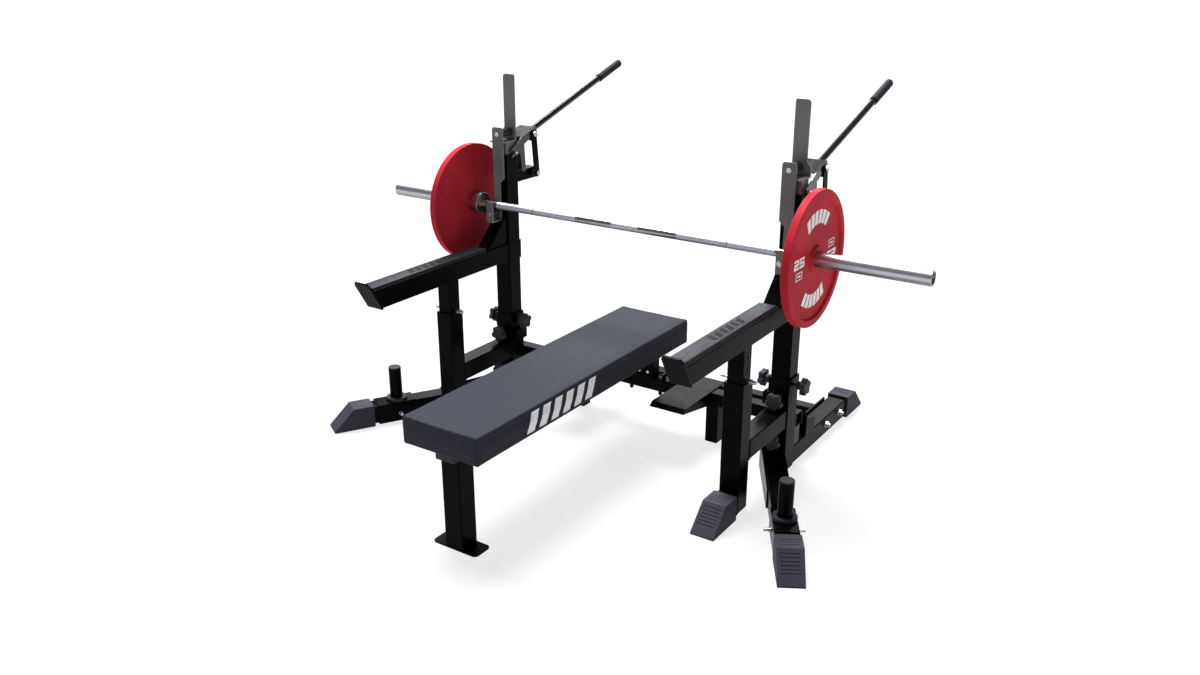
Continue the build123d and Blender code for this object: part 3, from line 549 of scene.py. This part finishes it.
def make_bench_pad():
    """Firm foam block in vinyl: barely crowned top, crisp edges, flat where it is bolted down."""
    low, high = (Vector(corner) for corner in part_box("bench_pad"))
    inset = Vector((PAD_INSET, PAD_INSET, PAD_INSET))
    low_corner = low + inset
    high_corner = high - inset
    bm = rounded_box(low_corner, high_corner, PAD_ROUND)
    pad = new_object("pad_cushion", bm, VINYL, "base")
    remesh = pad.modifiers.new("remesh", "REMESH")
    remesh.mode = "VOXEL"
    remesh.voxel_size = PAD_VOXEL
    apply_modifiers(pad)
    moves = inflate(pad)
    # the cover pulls its edges tight: settle every point on the rounded block, then add its swelling
    core = [(a + PAD_ROUND, b - PAD_ROUND) for a, b in zip(low_corner, high_corner)]
    half = (high - low) / 2
    centre = (low + high) / 2
    for vert, move in zip(pad.data.vertices, moves):
        inner = Vector(min(max(c, a), b) for c, (a, b) in zip(vert.co, core))
        out = vert.co - inner
        if out.length > 0:
            vert.co = inner + out.normalized() * PAD_ROUND
        spread = 1 - min(1.0, abs(vert.co.x - centre.x) / half.x) ** 4
        swell = Vector((move.x * 0.5, move.y * 0.5, move.z))
        vert.co += swell
        if vert.co.z > centre.z:
            vert.co.z += 0.0005 * spread * noise.noise(vert.co * 9.0)
        vert.co.z = max(vert.co.z, low.z)
    finer = pad.modifiers.new("finer", "SUBSURF")
    finer.levels = 1
    finer.render_levels = 1
    apply_modifiers(pad)
    for polygon in pad.data.polygons:
        polygon.use_smooth = True
    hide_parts("bench_pad")
    return pad


class Skin:
    """The finished surface of the cushion, so that seams and prints can be laid on it."""

    def __init__(self, piece):
        bm = bmesh.new()
        bm.from_mesh(piece.data)
        self.tree = BVHTree.FromBMesh(bm)
        bm.free()

    def hit(self, point, inward, lift=0.0):
        """Point of the surface met from outside along `inward`, lifted back out by `lift`."""
        inward = Vector(inward).normalized()
        found = self.tree.ray_cast(Vector(point) - inward * 0.1, inward)[0]
        return (found if found else Vector(point)) - inward * lift


def bead_along(bm, points, radius, sides=8, closed=False):
    """Adds a round bead through a list of points; the radius may be a function of the point's index."""
    rings = []
    count = len(points)
    for index, point in enumerate(points):
        before = points[(index - 1) % count] if closed or index else point
        after = points[(index + 1) % count] if closed or index < count - 1 else point
        ahead = (after - before).normalized()
        if abs(ahead.z) > 0.9:
            aside = ahead.orthogonal().normalized()
        else:
            aside = ahead.cross(Vector((0, 0, 1))).normalized()
        above = ahead.cross(aside)
        size = radius(index) if callable(radius) else radius
        rings.append(
            [
                bm.verts.new(point + (aside * math.cos(a) + above * math.sin(a)) * size)
                for a in (2 * math.pi * side / sides for side in range(sides))
            ]
        )
    pairs = list(zip(rings, rings[1:])) + ([(rings[-1], rings[0])] if closed else [])
    for ring, nxt in pairs:
        for side in range(sides):
            other = (side + 1) % sides
            bm.faces.new((ring[side], ring[other], nxt[other], nxt[side]))
    if not closed:
        bm.faces.new(rings[0][::-1])
        bm.faces.new(rings[-1])


def make_pad_seams(skin):
    """Corner seams of the cover with a row of stitches on each side of them."""
    low, high = (Vector(corner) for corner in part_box("bench_pad"))
    seam = bmesh.new()
    stitches = bmesh.new()
    for x, dx in ((low.x, 1), (high.x, -1)):
        for y, dy in ((low.y, 1), (high.y, -1)):
            steps = int((high.z - low.z - SEAM_ENDS) / SEAM_STEP)
            heights = [low.z + 0.3 * SEAM_ENDS + step * SEAM_STEP for step in range(steps)]
            path = [skin.hit((x, y, z), (dx, dy, 0.0), PIPING * 0.3) for z in heights]
            bead_along(seam, path, PIPING)
            for along, inward in (((dx, 0.0), (0.0, dy, 0.0)), ((0.0, dy), (dx, 0.0, 0.0))):
                shift = PAD_ROUND + STITCH_GAP
                foot = Vector((x + along[0] * shift, y + along[1] * shift, 0.0))
                z = low.z + 0.006
                while z + STITCH_LENGTH < high.z - PAD_ROUND:
                    reach = (0.0, STITCH_LENGTH / 2, STITCH_LENGTH)
                    lifts = (-0.0003, 0.0002, -0.0003)
                    path = [
                        skin.hit(foot + Vector((0, 0, z + up)), inward, lift)
                        for up, lift in zip(reach, lifts)
                    ]
                    bead_along(stitches, path, 0.0005, sides=6)
                    z += STITCH_PITCH
    for name, bm, material in (("pad_corner_seams", seam, VINYL), ("pad_stitches", stitches, THREAD)):
        piece = new_object(name, bm, material, "base")


SKIN = Skin(make_bench_pad())
make_pad_seams(SKIN)


# ---------------------------------------------------------------- raised and printed marks
def raised(name, outlines, origin, across, up, height, material, body, sink=0.0004):
    """Flat shapes standing `height` above a surface; each outline is a list of (across, up) points."""
    across = Vector(across)
    up = Vector(up)
    out = across.cross(up)
    bm = bmesh.new()
    for outline in outlines:
        foot = Vector(origin) - out * sink
        bm.faces.new([bm.verts.new(foot + across * a + up * b) for a, b in outline])
    bmesh.ops.remove_doubles(bm, verts=bm.verts[:], dist=0.00001)
    grown = bmesh.ops.extrude_face_region(bm, geom=bm.faces[:])
    for item in grown["geom"]:
        if isinstance(item, bmesh.types.BMVert):
            item.co += out * (height + sink)
    bmesh.ops.recalc_face_normals(bm, faces=bm.faces[:])
    piece = new_object(name, bm, material, body, smooth=False)
    return piece


def slanted_bars(count, length, height, slant, share=0.62):
    """A row of equal slanted bars, centred on the origin."""
    pitch = length / count
    width = pitch * share
    bars = []
    for index in range(count):
        left = -length / 2 + pitch * (index + 0.5) - width / 2
        bars.append(
            [
                (left - slant / 2, -height / 2),
                (left + width - slant / 2, -height / 2),
                (left + width + slant / 2, height / 2),
                (left + slant / 2, height / 2),
            ]
        )
    return bars


def numeral_outlines(width, height, stroke):
    """Block figures two and five, each from its lower left corner."""
    half = height / 2
    thick = stroke / 2
    clip = stroke * 0.45
    five = [
        (0, height), (width, height), (width, height - stroke), (stroke, height - stroke),
        (stroke, half + thick), (width - clip, half + thick), (width, half + thick - clip),
        (width, clip), (width - clip, 0), (0, 0), (0, stroke), (width - stroke, stroke),
        (width - stroke, half - thick), (0, half - thick),
    ]
    two = [
        (0, height), (width - clip, height), (width, height - clip), (width, half - thick + clip),
        (width - clip, half - thick), (stroke, half - thick), (stroke, stroke), (width, stroke),
        (width, 0), (0, 0), (0, half + thick - clip), (clip, half + thick),
        (width - stroke, half + thick), (width - stroke, height - stroke), (0, height - stroke),
    ]
    return two, five


def shifted(outline, da, db, turn):
    """The outline moved by (da, db), then turned half way round the origin when turn is -1."""
    return [(turn * (a + da), turn * (b + db)) for a, b in outline]


def frame_outline(width, height, line):
    """Four strips round a rectangle, from its lower left corner."""
    return [
        [(0, 0), (width, 0), (width - line, line), (line, line)],
        [(width, 0), (width, height), (width - line, height - line), (width - line, line)],
        [(width, height), (0, height), (line, height - line), (width - line, height - line)],
        [(0, height), (0, 0), (line, line), (line, height - line)],
    ]


def arc_blocks(count, inner, outer, spread, share=0.74, steps=5):
    """Blocks along an arc over the top of the disc, as (across, up) outlines."""
    blocks = []
    pitch = spread / count
    for index in range(count):
        start = -spread / 2 + pitch * (index + 0.5 * (1 - share))
        angles = [start + pitch * share * step / steps for step in range(steps + 1)]
        lean = pitch * 0.12
        rim = [(outer * math.sin(a + lean), outer * math.cos(a + lean)) for a in angles]
        hub = [(inner * math.sin(a - lean), inner * math.cos(a - lean)) for a in angles]
        blocks.append(hub[::-1] + rim)
    return blocks


FIGURE = (0.035, 0.033, 0.008)
FIGURES_START = -0.166
FIGURES_BASE = -0.002
FIGURES_SPACE = 0.006
BADGE_PLACE = (-0.148, -0.040)
BADGE = (0.046, 0.026, 0.0028)
BADGE_DASH = [(0.012, 0.010), (0.034, 0.010), (0.034, 0.016), (0.012, 0.016)]
WEB_DEPTH = 0.008


def make_disc_marks(side, sign):
    """Weight numbers, plain badges and plain arcs of blocks on the outer web of a disc."""
    low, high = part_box(f"plate_{side}")
    web = (high[0] - WEB_DEPTH) if sign > 0 else (low[0] + WEB_DEPTH)
    origin = (web, BAR.y, BAR.z)
    two, five = numeral_outlines(*FIGURE)
    shapes = []
    for turn in (1, -1):
        shapes.append(shifted(two, FIGURES_START, FIGURES_BASE, turn))
        shapes.append(shifted(five, FIGURES_START + FIGURE[0] + FIGURES_SPACE, FIGURES_BASE, turn))
        shapes += [shifted(strip, *BADGE_PLACE, turn) for strip in frame_outline(*BADGE)]
        shapes.append(shifted(BADGE_DASH, *BADGE_PLACE, turn))
        shapes += [shifted(block, 0, 0, turn) for block in arc_blocks(6, 0.116, 0.160, math.radians(72))]
    raised(
        f"disc_marks_{side}", shapes, origin, (0, sign, 0), (0, 0, 1),
        0.0009, WHITE, f"plate_{side}",
    )


for side_name, side_sign in SIDES.items():
    make_disc_marks(side_name, side_sign)

PAD_MARK_Y = -0.530
PAD_MARK_Z = 0.388
PAD_MARK_LENGTH = 0.375
PAD_MARK_HEIGHT = 0.066
PAD_MARK_SLANT = 0.026


def make_pad_marks(skin):
    """Plain slanted bars printed on both long sides of the bench, following the cover."""
    low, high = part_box("bench_pad")
    across_cuts = 3
    up_cuts = 6
    for side, sign in SIDES.items():
        face = high[0] if sign > 0 else low[0]
        bm = bmesh.new()
        for corners in slanted_bars(6, PAD_MARK_LENGTH, PAD_MARK_HEIGHT, PAD_MARK_SLANT):
            left, right = corners[0], corners[1]
            slant = corners[3][0] - left[0]
            layers = []
            for lift in (0.00035, -0.0012):
                layer = []
                for row in range(up_cuts + 1):
                    share = row / up_cuts
                    z = PAD_MARK_Z + left[1] + (corners[3][1] - left[1]) * share
                    for column in range(across_cuts + 1):
                        along = left[0] + (right[0] - left[0]) * column / across_cuts + slant * share
                        spot = (face, PAD_MARK_Y + sign * along, z)
                        layer.append(bm.verts.new(skin.hit(spot, (-sign, 0, 0), lift)))
                layers.append(layer)
            width = across_cuts + 1
            for row in range(up_cuts):
                for column in range(across_cuts):
                    cell = [row * width + column, row * width + column + 1]
                    cell += [cell[1] + width, cell[0] + width]
                    bm.faces.new([layers[0][i] for i in cell])
                    bm.faces.new([layers[1][i] for i in reversed(cell)])
            rim = list(range(width))
            rim += [row * width + across_cuts for row in range(1, up_cuts + 1)]
            rim += [up_cuts * width + column for column in reversed(range(across_cuts))]
            rim += [row * width for row in reversed(range(1, up_cuts))]
            for here, there in zip(rim, rim[1:] + rim[:1]):
                bm.faces.new((layers[0][there], layers[0][here], layers[1][here], layers[1][there]))
        bmesh.ops.recalc_face_normals(bm, faces=bm.faces[:])
        piece = new_object(f"pad_bars_{side}", bm, WHITE, "base", smooth=False)


make_pad_marks(SKIN)


# ---------------------------------------------------------------- strips on the safety arms
STRIP_LIP = 0.0034
STRIP_STEP = 0.0026
STRIP_ROUND = 0.0042
STRIP_END = 0.004
STRIP_MARK_Y = -0.312


def strip_section(half, height, inset):
    """Half section of the strip: a low lip, a step and a rounded shoulder."""
    shoulder = half - STRIP_STEP
    points = [
        (half, 0.0),
        (half, STRIP_LIP - 0.0008),
        (half - 0.0008, STRIP_LIP),
        (shoulder, STRIP_LIP + 0.0003),
    ]
    for step in range(5):
        angle = math.pi / 2 * step / 4
        points.append(
            (
                shoulder - STRIP_ROUND * (1 - math.cos(angle)),
                height - STRIP_ROUND * (1 - math.sin(angle)),
            )
        )
    return [(max(x - inset, 0.0), min(z, max(height - inset, 0.001))) for x, z in points]


def make_arm_strip(side, sign):
    """Moulded strip with a stepped lip, rounded ends and a row of plain raised bars."""
    low, high = (Vector(corner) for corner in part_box(f"arm_pad_{side}"))
    centre_x = (low.x + high.x) / 2
    half = (high.x - low.x) / 2
    height = high.z - low.z
    ends = [0.0, 0.0004, 0.0012, 0.0024, STRIP_END]
    stations = [low.y + e for e in ends]
    span = high.y - low.y
    stations += [low.y + 0.02 + (span - 0.04) * step / 24 for step in range(25)]
    stations += [high.y - e for e in reversed(ends)]
    bm = bmesh.new()
    rings = []
    for y in stations:
        near = min(y - low.y, high.y - y)
        inset = 0.0
        if near < STRIP_END:
            inset = STRIP_END * (1 - math.sqrt(max(0.0, 1 - (1 - near / STRIP_END) ** 2)))
        section = strip_section(half, height, inset)
        outline = [(-x, z) for x, z in section] + [(x, z) for x, z in reversed(section)]
        wave = 0.0002 * noise.noise(Vector((sign, y * 6.0, 0.0)))
        ring = []
        for x, z in outline:
            lift = wave if z > STRIP_LIP + 0.001 else 0.0
            ring.append(bm.verts.new((centre_x + x, y, low.z + z + lift)))
        rings.append(ring)
    for ring, nxt in zip(rings, rings[1:]):
        for index in range(len(ring)):
            other = (index + 1) % len(ring)
            bm.faces.new((ring[index], ring[other], nxt[other], nxt[index]))
    bm.faces.new(rings[0])
    bm.faces.new(rings[-1][::-1])
    bmesh.ops.recalc_face_normals(bm, faces=bm.faces[:])
    strip = new_object(f"arm_strip_{side}", bm, STRIP, f"lift_{side}")
    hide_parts(f"arm_pad_{side}")
    raised(
        f"arm_bars_{side}", slanted_bars(6, 0.215, 0.032, 0.014), (centre_x, STRIP_MARK_Y, high.z),
        (0, 1, 0), (-1, 0, 0), 0.0006, STRIP_MARK, f"lift_{side}",
    )


for side_name, side_sign in SIDES.items():
    make_arm_strip(side_name, side_sign)


# ---------------------------------------------------------------- weld beads
BEAD = 0.0021
BEAD_STEP = 0.0022
BEAD_CORNER = 0.004
BEAD_SIZE = 0.071
SIDE_TUBE_Z = 0.215
LEG_Z = 0.043
TUBE_END_Y = BAR.y - 0.2425
STUB_END_Y = BAR.y - 0.3145
ARM_END_Y = BAR.y + 0.0405


def weld_loop(name, centre, body):
    """Rippled fillet weld round the end of a square tube that runs along Y."""
    path = []
    reach = BEAD_SIZE / 2 - BEAD_CORNER
    for sx, sz, start in ((1, 1, 0), (-1, 1, 90), (-1, -1, 180), (1, -1, 270)):
        pivot = Vector((sx * reach, 0, sz * reach))
        for step in range(4):
            angle = math.radians(start + 30 * step)
            path.append(pivot + Vector((math.cos(angle), 0, math.sin(angle))) * BEAD_CORNER)
    dense = []
    for point, nxt in zip(path, path[1:] + path[:1]):
        cuts = max(1, round((nxt - point).length / BEAD_STEP))
        dense += [point.lerp(nxt, cut / cuts) for cut in range(cuts)]
    dense = [Vector(centre) + point for point in dense]
    bm = bmesh.new()
    bead_along(bm, dense, lambda index: BEAD * (1.0 + 0.16 * math.sin(index * 2.1)), sides=7, closed=True)
    bmesh.ops.recalc_face_normals(bm, faces=bm.faces[:])
    piece = new_object(name, bm, BLACK, body)


for side_name, side_sign in SIDES.items():
    tube_x = side_sign * UNIT_X
    post_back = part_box(f"front_post_{side_name}")[1][1]
    rear_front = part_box(f"rear_leg_{side_name}")[0][1]
    arm_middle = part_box(f"arm_pad_{side_name}")[0][2] - 0.035
    welds = (
        ("side_front", (tube_x, TUBE_END_Y, SIDE_TUBE_Z), "base"),
        ("side_back", (tube_x, post_back - 0.001, SIDE_TUBE_Z), "base"),
        ("stub", (tube_x, STUB_END_Y, LEG_Z), "base"),
        ("rear_leg", (tube_x, rear_front + 0.001, LEG_Z), "base"),
        ("arm", (tube_x, ARM_END_Y, arm_middle), f"lift_{side_name}"),
    )
    for place, centre, body in welds:
        weld_loop(f"weld_{place}_{side_name}", centre, body)
